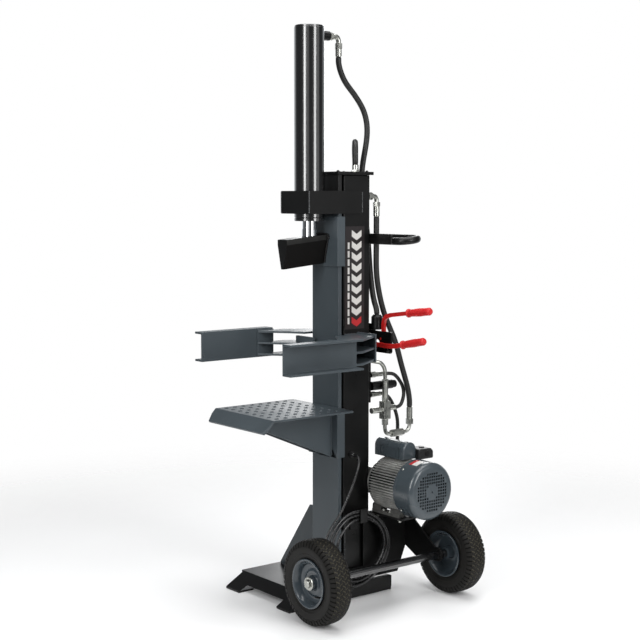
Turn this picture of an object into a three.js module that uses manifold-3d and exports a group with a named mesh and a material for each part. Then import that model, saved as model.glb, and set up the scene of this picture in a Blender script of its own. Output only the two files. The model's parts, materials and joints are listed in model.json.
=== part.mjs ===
// Vertical electric log splitter, 18-tonne class, as an assembly of separate pieces.
// Millimetres, +Z up.  -Y is the log side, +Y the oil tank side, +X the wheel and lever side.
// Inside this file Y = 0 is the front face of the mast and X = 0 its middle plane;
// the last lines move the whole object so that its origin is the middle of its footprint.
import * as THREE from 'three';
import { mergeVertices } from 'three/addons/utils/BufferGeometryUtils.js';
import Module from 'manifold-3d';

const wasm = await Module();
wasm.setup();

// ---------------------------------------------------------------- driving dimensions
const GAP = 0.3;                 // clearance between pieces that touch
const PLATE = 8;                 // thickness of the folded and welded plates

const BASE = { left: -319, right: 112, front: -175, back: 247, top: 57, toe: -260 };
const MAST = { half: 80, flange: 16, spacerHalf: 60, back: 30, top: 1635 };
const TANK = { half: 74, front: 30.3, back: 160.3, wall: 5, top: 1635 };
const CAP_TOP = 1648;
const CLAMP = { inner: 80.3, outer: 86.3, front: -145, back: 113, bottom: 1489, top: 1575 };
const RAM = { y: -77, outer: 57.5, bore: 50, rod: 27.5, bottom: 1489.3, top: 2191 };
const GLAND_BOTTOM = 1461.5;
const PISTON = { bottom: 2085, top: 2150 };
const SLIDE = { inner: 80.3, outer: 90.3, front: -12.3, hookIn: 66, hookBack: 24.6 };
const CARRIAGE = { bottom: 1290, top: 1478 };
const WEDGE = { length: 193, half: 30.5, tip: 9, band: 20, depth: 111, backTop: 1411, rake: 5.4 };
const ARM = { web: 258, webT: 6, reach: 306, front: -398, back: -62, bottom: 922, top: 1036 };
const TABLE = { half: 188, front: -385, back: -12.6, top: 752, lipRun: 37, lipDrop: 43 };
const BRACKET_BOTTOM = 555;
const AXLE = { x: 280, z: 160.5, r: 15, front: -294, back: 444 };
const WHEEL = { r: 158, width: 90, rim: 89, front: -259, rear: 409 };
const MOTOR = { y: 225, z: 440, x0: 92, x1: 268, body: 94, fin: 104, cover: 111, face: 368 };
const BOX = { x0: 68, x1: 241, y0: 192, y1: 258, bottom: 544.6, top: 612 };
const VALVE = { x0: -50, x1: 40, y0: 165, y1: 222, bottom: 925, top: 1060 };
const MANIFOLD = { x0: -60, x1: 14, y1: 219.7, bottom: 740 };
const PIPE_X = 44;               // the vertical plane of the pressure pipes
const SIDE_X = 12;               // the vertical plane of the relief valve and its two ports
const HOSE = 10.5;               // hose radius
const SMALL_HOSE = 7;
const CABLE = 5;                 // power cable radius
const COIL = { x: 125, y: 66, z: 200, inner: 112, outer: 148, half: 12 };

// ---------------------------------------------------------------- materials
const paint = (color, roughness) => new THREE.MeshStandardMaterial({ color, roughness, metalness: 0.2 });
const metal = (color, roughness) => new THREE.MeshStandardMaterial({ color, roughness, metalness: 1 });
const slate = paint(0x4a5259, 0.45);
const black = paint(0x161617, 0.35);
const red = paint(0xc81e1c, 0.4);
const rubber = paint(0x1c1b1a, 0.85);
const steel = metal(0xb9bcbc, 0.3);
const chrome = metal(0xe6e8ea, 0.08);
const alloy = metal(0x9a9c9d, 0.5);

// ---------------------------------------------------------------- shape helpers
const rad = THREE.MathUtils.degToRad;

// A prism over an outline.  axis 'x': outline in (y, z); 'y': outline in (x, z); 'z': outline in (x, y).
function prism(outline, axis, from, to, holes = []) {
  const shape = new THREE.Shape(outline.map(([u, v]) => new THREE.Vector2(u, v)));
  for (const [u, v, r] of holes) {
    shape.holes.push(new THREE.Path().absarc(u, v, r, 0, 2 * Math.PI, true));
  }
  const geometry = new THREE.ExtrudeGeometry(shape, {
    depth: to - from, bevelEnabled: false, curveSegments: 20,
  });
  if (axis === 'x') {
    geometry.applyMatrix4(new THREE.Matrix4().set(0, 0, 1, from, 1, 0, 0, 0, 0, 1, 0, 0, 0, 0, 0, 1));
  } else if (axis === 'y') {
    geometry.applyMatrix4(new THREE.Matrix4().set(1, 0, 0, 0, 0, 0, -1, to, 0, 1, 0, 0, 0, 0, 0, 1));
  } else {
    geometry.translate(0, 0, from);
  }
  return geometry;
}

function block(x0, x1, y0, y1, z0, z1) {
  const geometry = new THREE.BoxGeometry(x1 - x0, y1 - y0, z1 - z0);
  geometry.translate((x0 + x1) / 2, (y0 + y1) / 2, (z0 + z1) / 2);
  return geometry;
}

// A round bar between two values of one axis; at = the two other coordinates in x, y, z order.
function bar(axis, from, to, at, r, segments = 28) {
  const geometry = new THREE.CylinderGeometry(r, r, to - from, segments);
  return layAlong(geometry, axis, (from + to) / 2, at);
}

function layAlong(geometry, axis, middle, at) {
  if (axis === 'x') {
    geometry.rotateZ(-Math.PI / 2);
    geometry.translate(middle, at[0], at[1]);
  } else if (axis === 'y') {
    geometry.translate(at[0], middle, at[1]);
  } else {
    geometry.rotateX(Math.PI / 2);
    geometry.translate(at[0], at[1], middle);
  }
  return geometry;
}

// A turned piece: profile points are (radius, distance along the axis).
function turned(profile, axis, at, segments = 40) {
  const points = profile.map(([r, h]) => new THREE.Vector2(r, h));
  return layAlong(new THREE.LatheGeometry(points, segments), axis, 0, at);
}

// A nut or other hexagonal piece.
const hex = (axis, from, to, at, r) => bar(axis, from, to, at, r, 6);

// A round tube or bar swept along a smooth curve through the points.
function swept(points, r, steps, sides = 12, tension = 0.5) {
  const path = new THREE.CatmullRomCurve3(points.map((p) => new THREE.Vector3(...p)), false, 'catmullrom', tension);
  const section = new THREE.Shape();
  for (let i = 0; i < sides; i++) {
    const a = (2 * Math.PI * i) / sides;
    section[i ? 'lineTo' : 'moveTo'](r * Math.cos(a), r * Math.sin(a));
  }
  return new THREE.ExtrudeGeometry(section, { steps, extrudePath: path, bevelEnabled: false });
}

// ---------------------------------------------------------------- booleans
function toManifold(geometry) {
  const bare = geometry.clone();
  bare.deleteAttribute('normal');
  bare.deleteAttribute('uv');
  const welded = mergeVertices(bare, 1e-4);
  return new wasm.Manifold(new wasm.Mesh({
    numProp: 3,
    vertProperties: new Float32Array(welded.attributes.position.array),
    triVerts: new Uint32Array(welded.index.array),
  }));
}

function toGeometry(manifold) {
  const mesh = manifold.getMesh();
  const geometry = new THREE.BufferGeometry();
  geometry.setAttribute('position', new THREE.BufferAttribute(new Float32Array(mesh.vertProperties), 3));
  geometry.setIndex(new THREE.BufferAttribute(new Uint32Array(mesh.triVerts), 1));
  geometry.computeVertexNormals();
  return geometry;
}

const join = (...parts) => toGeometry(parts.map(toManifold).reduce((a, b) => a.add(b)));
const cut = (body, ...tools) => toGeometry(tools.map(toManifold).reduce((a, b) => a.subtract(b), toManifold(body)));

// ---------------------------------------------------------------- the assembly
const root = new THREE.Group();
const CORD_NODES = ['cable_lead', 'cable_coil', 'cable_tail', 'cable_plug'];

function add(name, geometry, material) {
  const mesh = new THREE.Mesh(geometry, material);
  mesh.name = name;
  root.add(mesh);
  return mesh;
}

// ---- base and column
function basePlate() {
  const { left, right, front, back, top, toe } = BASE;
  const under = top - PLATE;
  const slope = (top - PLATE) / (front - toe);
  const toeFlange = prism([
    [front + 2, top], [toe, PLATE], [toe, 0], [toe + 70, 0], [toe + 70, PLATE],
    [toe + PLATE, PLATE], [front + 2, under - slope],
  ], 'x', left + 12, right);
  const arch = block(-218, 30, toe - 5, front - 12, -1, 27);
  const archBack = block(-218, 30, toe - 5, toe + 80, -1, PLATE + 1);
  const skid = prism([
    [-150, under + 1], [-150, 14], [-138, 2], [back - 12, 2], [back, 14], [back, under + 1],
  ], 'x', right - PLATE, right);
  const rear = block(left, right - 2, back - PLATE, back, 0, under + 1);
  return join(block(left, right, front, back, under, top), cut(toeFlange, arch, archBack), skid, rear);
}
add('base_plate', basePlate(), black);

add('mast_gusset', prism([
  [-MAST.half - GAP, BASE.top + GAP], [-300, BASE.top + GAP], [-300, 66],
  [-104, 338], [-MAST.half - GAP, 338],
], 'y', 4, 12), slate);

add('mast_beam', prism([
  [-MAST.half, 0], [MAST.half, 0], [MAST.half, MAST.flange], [MAST.spacerHalf, MAST.flange],
  [MAST.spacerHalf, MAST.back], [-MAST.spacerHalf, MAST.back], [-MAST.spacerHalf, MAST.flange],
  [-MAST.half, MAST.flange],
], 'z', BASE.top + GAP, MAST.top), slate);

const tankInside = block(
  -TANK.half + TANK.wall, TANK.half - TANK.wall,
  TANK.front + TANK.wall, TANK.back - TANK.wall, BASE.top + GAP + 6, TANK.top + 1,
);
add('oil_tank', cut(
  block(-TANK.half, TANK.half, TANK.front, TANK.back, BASE.top + GAP, TANK.top), tankInside,
), black);
add('tank_cap', block(-86, 86, -4, 170, TANK.top + GAP, CAP_TOP), black);

// ---- cylinder, its clamp and the moving ram
function cylinderClamp() {
  const { inner, outer, front, back, bottom, top } = CLAMP;
  const shell = block(-outer, outer, front, back, bottom, top);
  const hollow = block(-inner, inner, front + 6, back + 1, bottom + 10, top - 10);
  const mastSlot = block(-inner, inner, -GAP, back + 1, bottom - 1, top + 1);
  const bore = bar('z', bottom - 1, top + 1, [0, RAM.y], RAM.outer + GAP, 48);
  return cut(shell, hollow, mastSlot, bore);
}
add('cylinder_clamp', cylinderClamp(), black);

add('cylinder_tube', turned([
  [RAM.bore, RAM.bottom], [RAM.outer, RAM.bottom], [RAM.outer, RAM.top - 9], [RAM.outer - 1.5, RAM.top - 8],
  [RAM.outer - 1.5, RAM.top - 3], [RAM.outer - 5, RAM.top], [0, RAM.top], [0, RAM.top - 30],
  [RAM.bore, RAM.top - 30], [RAM.bore, RAM.bottom],
], 'z', [0, RAM.y], 48), black);

add('cylinder_gland', cut(
  join(
    bar('z', GLAND_BOTTOM, 1473, [0, RAM.y], RAM.outer, 48),
    bar('z', 1472, 1475, [0, RAM.y], RAM.outer - 2.5, 48),
    bar('z', 1475, 1489, [0, RAM.y], RAM.outer, 48),
    bar('z', 1488, 1525, [0, RAM.y], RAM.bore - GAP, 48),
  ),
  bar('z', GLAND_BOTTOM - 1, 1526, [0, RAM.y], RAM.rod + GAP, 32),
), black);
add('piston', bar('z', PISTON.bottom + GAP, PISTON.top, [0, RAM.y], RAM.bore - GAP, 48), steel);

// The wedge is raked nose-down; its back edge stands against the carriage.
function wedgeBlade() {
  const { length, half, tip, band, depth, rake, backTop } = WEDGE;
  const blade = prism([
    [-half, 0], [-half, -band], [-tip, -depth], [tip, -depth], [half, -band], [half, 0],
  ], 'y', -length - 20, 20);
  blade.rotateX(rad(rake));
  blade.translate(0, SLIDE.front - GAP, backTop);
  const front = block(-50, 50, SLIDE.front - GAP - length - 60, SLIDE.front - GAP - length, 1200, 1500);
  const back = block(-50, 50, SLIDE.front - GAP, 60, 1200, 1500);
  return cut(blade, front, back);
}
add('wedge_blade', wedgeBlade(), black);

// The rod's foot sits on the raked top of the wedge.
const rodFoot = WEDGE.backTop + (RAM.y - SLIDE.front) * Math.tan(rad(WEDGE.rake)) + GAP + 0.2;
function pistonRod() {
  const rod = join(
    bar('z', rodFoot - 10, PISTON.bottom, [0, RAM.y], RAM.rod, 32),
    bar('z', rodFoot - 10, rodFoot + 25, [0, RAM.y], RAM.rod + 2, 32),
  );
  const below = block(-60, 60, -60, 60, -40, 0);
  below.rotateX(rad(WEDGE.rake));
  below.translate(0, RAM.y, rodFoot);
  return cut(rod, below);
}
add('piston_rod', pistonRod(), chrome);

// The C-shaped section that wraps the front flange of the mast.
function slideOutline() {
  const { inner, outer, front, hookIn, hookBack } = SLIDE;
  const hookFront = MAST.flange + GAP;
  return [
    [-outer, front], [outer, front], [outer, hookBack], [hookIn, hookBack], [hookIn, hookFront],
    [inner, hookFront], [inner, -GAP], [-inner, -GAP], [-inner, hookFront], [-hookIn, hookFront],
    [-hookIn, hookBack], [-outer, hookBack],
  ];
}
add('wedge_carriage', prism(slideOutline(), 'z', CARRIAGE.bottom, CARRIAGE.top), slate);

// ---- work table
function tableBracket() {
  const roof = TABLE.top - PLATE - GAP;
  const back = SLIDE.front + 1;
  const nose = TABLE.front + 5;
  const noseDepth = 33;
  const outer = prism([
    [back, roof], [nose, roof], [nose, roof - noseDepth], [back, BRACKET_BOTTOM],
  ], 'x', -53, 53);
  const inner = prism([
    [SLIDE.front, roof + 1], [nose + 8, roof + 1], [nose + 8, BRACKET_BOTTOM - 1],
    [SLIDE.front, BRACKET_BOTTOM - 1],
  ], 'x', -45, 45);
  return join(prism(slideOutline(), 'z', BRACKET_BOTTOM, roof), cut(outer, inner));
}
add('table_bracket', tableBracket(), slate);

function tablePlate() {
  const { half, front, back, top, lipRun, lipDrop } = TABLE;
  const section = prism([
    [back, top], [back, top - PLATE], [front + 3, top - PLATE], [front - lipRun + 3, top - PLATE - lipDrop],
    [front - lipRun - 4, top - lipDrop], [front, top],
  ], 'x', -half, half);
  const corner = 22;
  const chamfers = [-1, 1].map((side) => prism([
    [side * (half + 1), front - lipRun - 20], [side * (half + 1), front - lipRun + corner],
    [side * (half - corner), front - lipRun - 20],
  ].sort((a, b) => side * (a[0] - b[0])), 'z', 600, 800));
  return cut(section, ...chamfers);
}
add('table_plate', tablePlate(), slate);

// ---- log arms and their brackets, on both sides
function armBracket(side) {
  const outline = [
    [TANK.half + GAP, 32], [96, 32], [96, -28], [150, -60], [ARM.web - GAP - 8, -140],
    [ARM.web - GAP - 8, -18], [178, 96], [178, 104], [TANK.half + GAP, 104],
  ].map(([x, y]) => [side * x, y]);
  const span = (x0, x1, ...rest) => block(Math.min(side * x0, side * x1), Math.max(side * x0, side * x1), ...rest);
  const ribs = [930, 975, 1020].map((z) => prism(outline, 'z', z, z + PLATE));
  return join(
    ...ribs,
    span(TANK.half + GAP, 183, 96, 104, 926, 1034),
    span(ARM.web - GAP - PLATE, ARM.web - GAP, -140, -64, 926, 1032),
    span(45, 150, -29, -15, 930, 1010),
  );
}

function logArm(side) {
  const { web, webT, reach, front, back, bottom, top } = ARM;
  const outline = [
    [web, bottom], [reach, bottom], [reach, bottom + PLATE], [web + webT, bottom + PLATE],
    [web + webT, top - PLATE], [reach, top - PLATE], [reach, top], [web, top],
  ].map(([x, z]) => [side * x, z]);
  return prism(outline, 'y', front, back);
}
for (const [side, label] of [[1, 'right'], [-1, 'left']]) {
  add(`arm_bracket_${label}`, armBracket(side), slate);
  add(`log_arm_${label}`, logArm(side), slate);
}

// ---- handle
const HANDLE = { r: 14, y: 183.2, gap: 90, turnX: 205, z: 1384, rise: 10, legX: -20 };
add('handle_bracket', prism([
  [-60, 1371], [194, 1371], [200, 1378], [200, 1405], [194, 1412], [-60, 1412],
], 'y', TANK.back + GAP, 168.6), black);

function handleLoop() {
  const { r, y, gap, turnX, z, rise, legX } = HANDLE;
  const points = [[108, y, z], [160, y, z]];
  for (let i = 0; i <= 6; i++) {
    const a = (Math.PI * i) / 6;
    points.push([turnX + (gap / 2) * Math.sin(a), y + (gap / 2) * (1 - Math.cos(a)),
      z + (rise / 2) * (1 - Math.cos(a))]);
  }
  points.push([100, y + gap, z + rise], [legX + 30, y + gap, z + rise], [legX + 8, y + gap - 8, z + rise],
    [legX, y + gap - 30, z + rise], [legX, 200, z + rise - 4], [legX, 168.9, z + rise - 4]);
  return swept(points, r, 44, 12);
}
add('handle_loop', handleLoop(), black);

// ---- axle, its bracket and the wheels
function axleBracket() {
  const x0 = MAST.half + GAP;
  const x1 = x0 + PLATE;
  const rearY = [337, 345];
  const frontY = [-203, -195];
  const side = prism([
    [frontY[0], 60], [300, 60], [345, 168], [345, 270], [330, 326], [120, 326], [120, 110], [frontY[0], 110],
  ], 'x', x0, x1);
  const rearArm = prism([
    [x0, 168], [152, 131], [262, 134], [292, 136], [306, 152], [306, 172], [292, 188], [264, 188],
    [148, 272], [122, 319], [x0, 319],
  ], 'y', ...rearY);
  const frontArm = prism([
    [x0, 60], [130, 60], [292, 138], [306, 152], [306, 172], [292, 188], [264, 188], [x0, 110],
  ], 'y', ...frontY);
  const shelf = block(x0, 270, 158, rearY[1], 318, 326);
  const hole = bar('y', frontY[0] - 5, rearY[1] + 5, [AXLE.x, AXLE.z], AXLE.r + GAP, 32);
  return cut(join(side, rearArm, frontArm, shelf), hole);
}
add('axle_bracket', axleBracket(), black);

// The axle, with the washer and nut that keep each wheel on it.
function axleBar() {
  const { x, z, r, front, back } = AXLE;
  return join(
    bar('y', front, back, [x, z], r, 32),
    bar('y', front - 5, front, [x, z], 24, 24), hex('y', front - 13, front - 4, [x, z], 15),
    bar('y', back, back + 5, [x, z], 24, 24), hex('y', back + 4, back + 13, [x, z], 15),
  );
}
add('axle', axleBar(), black);

function tyre(y) {
  const { r, width, rim } = WHEEL;
  const h = width / 2;
  return turned([
    [rim + GAP, -h + 12], [rim + 9, -h + 4], [rim + 30, -h], [r - 22, -h + 2], [r - 8, -h + 8], [r - 1.5, -h + 18],
    [r, 0], [r - 1.5, h - 18], [r - 8, h - 8], [r - 22, h - 2], [rim + 30, h], [rim + 9, h - 4],
    [rim + GAP, h - 12], [rim + GAP, -h + 12],
  ].map(([a, b]) => [a, b + y]), 'y', [AXLE.x, AXLE.z], 36);
}

// The pressed rim with its hub; the outer side (sign) carries the deeper dish.
function rim(y) {
  const { rim: r, width } = WHEEL;
  const h = width / 2 - 4;
  const bore = AXLE.r + GAP;
  const hub = 34;
  return turned([
    [bore, -hub], [26, -hub], [26, -8], [r - 22, -12], [r - 12, -h + 8], [r - 6, -h], [r, -h], [r, -h + 5],
    [r - 5, -h + 12], [r - 5, h - 12], [r, h - 5], [r, h], [r - 6, h], [r - 12, h - 8], [r - 22, 2],
    [26, 6], [26, hub], [bore, hub], [bore, -hub],
  ].map(([a, b]) => [a, b + y]), 'y', [AXLE.x, AXLE.z], 30);
}
for (const end of ['front', 'rear']) {
  add(`tyre_${end}`, tyre(WHEEL[end]), rubber);
  add(`rim_${end}`, rim(WHEEL[end]), slate);
}

// ---- motor and pump, on one shaft along X
function motorBody() {
  const { x0, x1, y, z, body, fin } = MOTOR;
  const fins = 40;
  const outline = [];
  for (let i = 0; i < fins; i++) {
    for (const [step, r] of [[-0.3, body], [-0.14, fin], [0.14, fin], [0.3, body]]) {
      const a = (2 * Math.PI * (i + step)) / fins;
      outline.push([y + r * Math.cos(a), z + r * Math.sin(a)]);
    }
  }
  const feet = [158, 262].map((y0) => block(112, 258, y0, y0 + 30, 326.3, 372));
  const shell = join(prism(outline, 'x', x0, x1), ...feet);
  return cut(shell, bar('x', x0 + 12, x1 - 10, [y, z], 58, 32), bar('x', x0 - 1, x1 + 1, [y, z], 12.6, 24));
}
add('motor_body', motorBody(), alloy);

function motorRotor() {
  const { y, z } = MOTOR;
  return join(bar('x', 110, 252, [y, z], 55, 32), bar('x', 62, 338, [y, z], 12, 24));
}
add('motor_rotor', motorRotor(), steel);

function motorFan() {
  const { y, z } = MOTOR;
  const blades = [];
  for (let i = 0; i < 7; i++) {
    const blade = block(302, 326, -2, 2, 24, 86);
    blade.rotateX((2 * Math.PI * i) / 7);
    blade.translate(0, y, z);
    blades.push(blade);
  }
  const hub = join(bar('x', 296, 332, [y, z], 27, 24), bar('x', 296, 303, [y, z], 86, 32), ...blades);
  return cut(hub, bar('x', 290, 340, [y, z], 12 + GAP, 24));
}
add('motor_fan', motorFan(), black);

function fanCover() {
  const { y, z, cover, face, x1 } = MOTOR;
  return turned([
    [cover - 3, x1 + GAP], [cover, x1 + GAP], [cover, face - 16], [cover - 5, face - 5], [cover - 16, face],
    [0, face], [0, face - 3], [cover - 17, face - 3], [cover - 7.5, face - 7.5], [cover - 3, face - 17],
    [cover - 3, x1 + GAP],
  ], 'x', [y, z], 44);
}
add('motor_fan_cover', fanCover(), slate);

function capacitorBox() {
  const { x0, x1, y0, y1, bottom, top } = BOX;
  const outline = [[y0, bottom], [y1, bottom]];
  const r = (y1 - y0) / 2;
  const lift = 22;
  for (let i = 0; i <= 8; i++) {
    const a = (Math.PI * i) / 8;
    outline.push([(y0 + y1) / 2 + r * Math.cos(a), top - lift + lift * Math.sin(a)]);
  }
  return prism(outline, 'x', x0, x1);
}
add('capacitor_box', capacitorBox(), slate);
add('switch_box', prism([
  [BOX.y1 + GAP, 541], [334, 541], [334, 570], [322, 582], [BOX.y1 + GAP, 582],
], 'x', 190, 258), black);

function pumpBody() {
  const { y, z, x0 } = MOTOR;
  const flange = bar('x', 80, x0 - GAP, [y, z], 78, 32);
  const gearCase = prism([
    [y - 44, z - 52], [y + 44, z - 52], [y + 44, z + 52], [y - 44, z + 52],
  ], 'x', -22, 81);
  const port = bar('y', y + 40, y + 58, [15, z + 10], 12, 20);
  return cut(join(flange, gearCase, port), bar('x', 58, x0, [y, z], 12.6, 24));
}
add('pump_body', pumpBody(), alloy);

// ---- valve, levers and their bracket
function valveBody() {
  const { x0, x1, y0, y1, bottom, top } = VALVE;
  const port = { x: 66, y: 205, r: 22 };
  const portBody = turned([
    [0, 1037], [port.r, 1037], [port.r, 1086], [port.r - 8, 1095], [0, 1095],
  ], 'z', [port.x, port.y], 28);
  return cut(
    join(
      block(x0, x1, y0, y1, bottom, top),
      block(MANIFOLD.x0, MANIFOLD.x1, y0, MANIFOLD.y1, MANIFOLD.bottom, bottom + 1),
      block(x1 - 10, port.x, 190, 220, 1037, top),
      portBody,
    ),
    bar('z', 915, top + 1, [0, 195], 9 + GAP, 20),
  );
}
add('valve_body', valveBody(), black);
add('valve_spool', bar('z', 930, 1076, [0, 195], 9, 20), steel);

const LEVER = { lower: [56, 985], upper: [104, 1004], pin: 5 };
add('lever_bracket', prism([
  [VALVE.x1 + GAP, 950], [160, 950], [166, 956], [166, 1033], [VALVE.x1 + GAP, 1033],
], 'y', 191, 199, [[84, 986, 15], [...LEVER.lower, LEVER.pin + GAP], [...LEVER.upper, LEVER.pin + GAP]]), black);

// A flat lever bar that follows a centre line in the XZ plane, with its pivot pin.
function leverBar(line, half, y0, y1, pin) {
  const left = [];
  const right = [];
  line.forEach(([x, z], i) => {
    const [ax, az] = line[Math.max(i - 1, 0)];
    const [bx, bz] = line[Math.min(i + 1, line.length - 1)];
    const length = Math.hypot(bx - ax, bz - az);
    const n = [-(bz - az) / length, (bx - ax) / length];
    left.push([x + half * n[0], z + half * n[1]]);
    right.unshift([x - half * n[0], z - half * n[1]]);
  });
  return join(prism([...left, ...right], 'y', y0, y1), bar('y', pin[0], pin[1], pin[2], LEVER.pin, 20));
}
add('lever_lower', leverBar(
  [[47, 984], [56, 985], [104, 982], [160, 980], [196, 983], [241.7, 992]], 9, 177, 189, [188, 202, LEVER.lower],
), red);
add('lever_upper', leverBar(
  [[103, 990], [104, 1004], [104, 1060], [108, 1078], [121, 1091], [146, 1098], [246.7, 1112]],
  8, 202, 213, [191, 203, LEVER.upper],
), red);

// Rubber grip on the end of a lever: a lathe along +x, turned to the lever's slope.
function grip(x, y, z, slope) {
  const profile = [
    [0, 0], [17, 0], [17, 5], [13.5, 8], [14.5, 30], [16, 66], [14.5, 104], [15, 118], [10, 126], [0, 126],
  ];
  const shape = turned(profile, 'x', [0, 0], 24);
  shape.rotateY(-rad(slope));
  shape.translate(x, y, z);
  return shape;
}
add('grip_lower', grip(242, 183, 992, 11), red);
add('grip_upper', grip(247, 207.5, 1112, 7), red);

// ---- hydraulic fittings and pipes
// The top port's boss is welded to the back of the cylinder.
function topPortElbow() {
  const z = 2158;
  const bossEnd = 16;
  const boss = cut(
    bar('y', RAM.y + 50, bossEnd, [0, z], 18), bar('z', z - 40, z + 40, [0, RAM.y], RAM.outer + GAP, 48),
  );
  const bend = swept([[0, 38, z], [0, 50, z], [0, 59, z - 5], [0, 64, z - 16], [0, 64, z - 32]], 10, 14);
  return join(
    boss, hex('y', bossEnd - 1, 32, [0, z], 15), bar('y', 31, 40, [0, z], 12, 24), bend,
    hex('z', 2112, 2134, [0, 64], 15), bar('z', 2084, 2113, [0, 64], 12.5, 24),
  );
}
add('top_port_elbow', topPortElbow(), steel);

function tankReturnElbow() {
  const z = 1555;
  const bend = swept([[60, 180, z], [60, 192, z], [60, 202, z - 5], [60, 206, z - 16], [60, 206, z - 32]], 9, 14);
  return join(
    hex('y', TANK.back + GAP, 182, [60, z], 15), bend, hex('z', 1516, 1532, [60, 206], 15),
    bar('z', 1477, 1517, [60, 206], 12.5, 24),
  );
}
add('tank_return_elbow', tankReturnElbow(), steel);

add('tank_top_fitting', join(
  hex('z', CAP_TOP + GAP, CAP_TOP + 9, [20, 132], 16), bar('z', CAP_TOP + 8, 1675, [20, 132], 13, 24),
), steel);

const TEE = { y: 268, bottom: 673, top: 745, port: 716 };
add('tee_block', join(
  block(PIPE_X - 16, PIPE_X + 16, TEE.y - 17, TEE.y + 17, TEE.bottom, TEE.top),
  bar('y', TEE.y + 16, 320, [PIPE_X, TEE.port], 11, 20),
  bar('y', 196, TEE.y - 16, [PIPE_X, TEE.port - 4], 12, 20),
), steel);

function valveRiser() {
  const tube = swept([
    [PIPE_X, TEE.y, 830], [PIPE_X, TEE.y, 856], [PIPE_X, TEE.y - 6, 880], [PIPE_X, TEE.y - 26, 900],
    [36, 218, 906], [28, 207, 910], [28, 206, 916], [28, 206, VALVE.bottom - GAP],
  ], 8, 24);
  return join(
    hex('z', TEE.top + GAP, 760, [PIPE_X, TEE.y], 14), bar('z', 759, 826, [PIPE_X, TEE.y], 12, 24),
    hex('z', 825, 834, [PIPE_X, TEE.y], 14), tube,
  );
}
add('valve_riser', valveRiser(), steel);

function crossoverPipe() {
  const farY = 398.6;
  const z = 611;
  const tube = swept([
    [PIPE_X, farY, 650], [PIPE_X, farY, 632], [PIPE_X, farY - 8, 617], [PIPE_X, farY - 26, z], [PIPE_X, 330, z],
    [PIPE_X, TEE.y + 20, z], [PIPE_X, TEE.y + 5, 619], [PIPE_X, TEE.y, 636], [PIPE_X, TEE.y, 655],
  ], 8, 30);
  return join(
    tube, bar('z', 662, 708, [PIPE_X, farY], 12.5, 24), hex('z', 640, 663, [PIPE_X, farY], 16),
    hex('y', 300, 362, [PIPE_X, z], 15), hex('z', 650, TEE.bottom - GAP, [PIPE_X, TEE.y], 14),
  );
}
add('crossover_pipe', crossoverPipe(), steel);

add('relief_valve', join(
  bar('y', MANIFOLD.y1 + GAP, 330, [SIDE_X, 805], 18, 24), bar('y', 329, 346, [SIDE_X, 805], 15.5, 24),
), black);
add('pressure_fitting', join(
  hex('y', MANIFOLD.y1 + GAP, 244, [SIDE_X, 850], 12), bar('y', 243, 279, [SIDE_X, 850], 9.5, 20),
), steel);
add('pump_fitting', join(
  hex('y', MANIFOLD.y1 + GAP, 240, [SIDE_X, 771], 12), bar('y', 239, 270, [SIDE_X, 771], 9.5, 20),
), steel);

// ---- hoses (plain tubes; each runs from one fitting's face to the next)
add('hose_cylinder', swept([
  [0, 64, 2083.7], [0, 64, 2070], [0, 67, 2046], [0, 94, 1994], [0, 149, 1938], [2, 185, 1890], [6, 199, 1845],
  [7, 202, 1800], [4, 198, 1750], [0, 190, 1700], [-2, 184, 1650], [2, 184, 1580], [14, 188, 1480], [24, 194, 1380],
  [33, 198, 1260], [50, 200, 1160],
  [66, 205, 1112], [66, 205, 1095.3],
], HOSE, 46, 10), rubber);
add('hose_return', swept([
  [20, 132, 1675.3], [20, 132, 1712], [16, 135, 1742], [-2, 149, 1764], [-30, 171, 1762], [-52, 188, 1732],
  [-60, 197, 1690], [-60, 200, 1600], [-58, 200, 1450], [-48, 202, 1280], [-34, 202, 1150], [-31, 200, 1090],
  [-31, 200, VALVE.top + GAP],
], HOSE, 40, 10), rubber);
add('hose_suction', swept([
  [60, 206, 1476.7], [60, 206, 1386], [60, 209, 1242], [60, 243, 1109], [58, 308, 981], [54, 343, 891],
  [48, 384, 790], [44, 398.6, 735], [44, 398.6, 708.3],
], HOSE, 40, 10), rubber);
add('hose_loop_upper', swept([
  [SIDE_X, 279.3, 850], [SIDE_X, 295, 850], [18, 340, 842], [26, 373, 800], [34, 376, 762], [42, 356, 726],
  [PIPE_X, 336, TEE.port], [PIPE_X, 320.3, TEE.port],
], SMALL_HOSE, 26, 10), rubber);
add('hose_loop_lower', swept([
  [SIDE_X, 270.3, 771], [SIDE_X, 284, 771], [14, 316, 750], [14, 344, 706], [14, 360, 660], [14, 362, 610],
  [15, 358, 540], [15, 342, 486], [15, 318, 454], [15, 300, 450], [15, 283.3, 450],
], SMALL_HOSE, 30, 10), rubber);

// ---- power cable
// A point off the coil's rim: angle in degrees from straight down, height above the rim.
function onCoil(angle, height) {
  const r = COIL.outer + height;
  return [COIL.x, COIL.y + r * Math.sin(rad(angle)), COIL.z - r * Math.cos(rad(angle))];
}
add('cable_gland', join(
  hex('x', TANK.half + GAP, 83, [68, 560], 13), bar('x', 82, 90, [68, 560], 9, 20),
), black);
const HOOK_Y = [62, 96];
add('cable_hook', join(
  block(TANK.half + GAP, 80, ...HOOK_Y, 262, 322), block(79, 140, ...HOOK_Y, 300, 307.5),
  block(138, 143, ...HOOK_Y, 300, 354),
), black);
add('cable_lead', swept([
  [90.3, 68, 560], [98, 68, 560], [112, 66.5, 556.5], [124, 62, 547], [132, 56, 532], [135, 49, 513],
  [134, 42, 490], [130, 31, 455], [126, 16, 410], [125, 3, 372], onCoil(206, 14), onCoil(206, 0.4),
], CABLE, 30, 8), rubber);
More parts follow.
